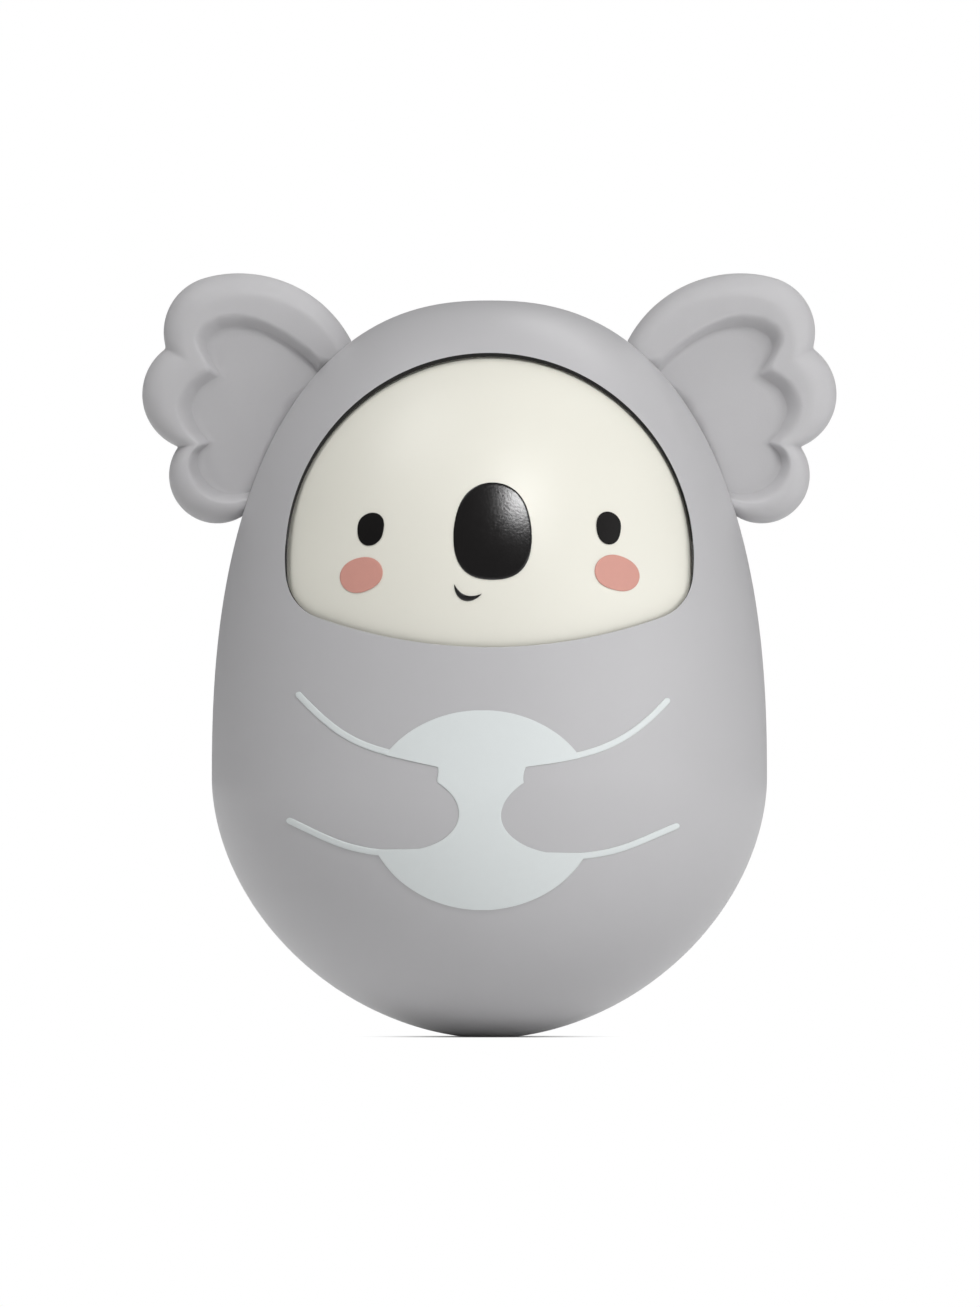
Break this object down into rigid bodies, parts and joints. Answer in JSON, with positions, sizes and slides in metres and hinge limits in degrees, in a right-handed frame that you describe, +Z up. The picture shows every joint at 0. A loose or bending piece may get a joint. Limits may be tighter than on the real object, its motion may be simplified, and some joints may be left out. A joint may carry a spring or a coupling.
{
  "type": "roly poly toy",
  "caption": "Egg-shaped weighted roly poly toy with scalloped ears, a nodding cream face in a hooded opening and swinging chime strikers inside; rights itself on its round base.",
  "frame": {"origin": "centre of the flat that the toy rests on, at the bottom of the egg body", "axes": "+Z up along the egg's axis, -Y the way the face looks, +X to the right of someone facing the toy"},
  "size_m": [0.104, 0.0831, 0.1142],
  "materials": {
    "grey_plastic": "satin",
    "grey_rubber": "matte",
    "cream_plastic": "satin",
    "black_ink": "satin",
    "blush_ink": "matte",
    "pale_ink": "satin",
    "white_plastic": "satin",
    "iron": "matte",
    "black_rubber": "matte",
    "steel": "satin",
    "block_metal": "satin",
    "bronze": "satin"
  },
  "bodies": {
    "body": {"front_shell": "grey_plastic", "rear_shell": "grey_plastic", "ear_left": "grey_rubber", "ear_right": "grey_rubber", "belly_print": "pale_ink", "ballast_weight": "iron", "ballast_pad": "black_rubber", "chime_deck": "white_plastic", "deck_screws": "steel", "chime_frame": "white_plastic", "frame_screws": "steel", "chime_block": "block_metal", "block_screws": "steel", "chime_rod_1": "steel", "chime_rod_2": "steel", "chime_rod_3": "steel", "chime_rod_4": "steel", "striker_pin": "steel", "head_axle": "steel", "axle_spacers": "white_plastic", "shell_screws": "steel"},
    "head": {"face_dome": "cream_plastic", "eye_prints": "black_ink", "nose_print": "black_ink", "mouth_print": "black_ink", "cheek_prints": "blush_ink", "head_carrier": "white_plastic", "nod_bushes": "bronze", "counterweight": "steel", "counterweight_screws": "steel", "face_screws": "steel"},
    "left_striker": {"striker_left": "white_plastic"},
    "right_striker": {"striker_right": "white_plastic"}
  },
  "joints": [
    {"name": "face_nod", "type": "hinge", "parent": "body", "child": "head", "pos_m": [0, 0.0055, 0.065], "axis": [1, 0, 0], "range_deg": [-4, 7]},
    {"name": "left_striker_swing", "type": "hinge", "parent": "body", "child": "left_striker", "pos_m": [0, -0.005, 0.048], "axis": [1, 0, 0], "range_deg": [-25, 11]},
    {"name": "right_striker_swing", "type": "hinge", "parent": "body", "child": "right_striker", "pos_m": [0, -0.005, 0.048], "axis": [1, 0, 0], "range_deg": [-25, 11]}
  ]
}
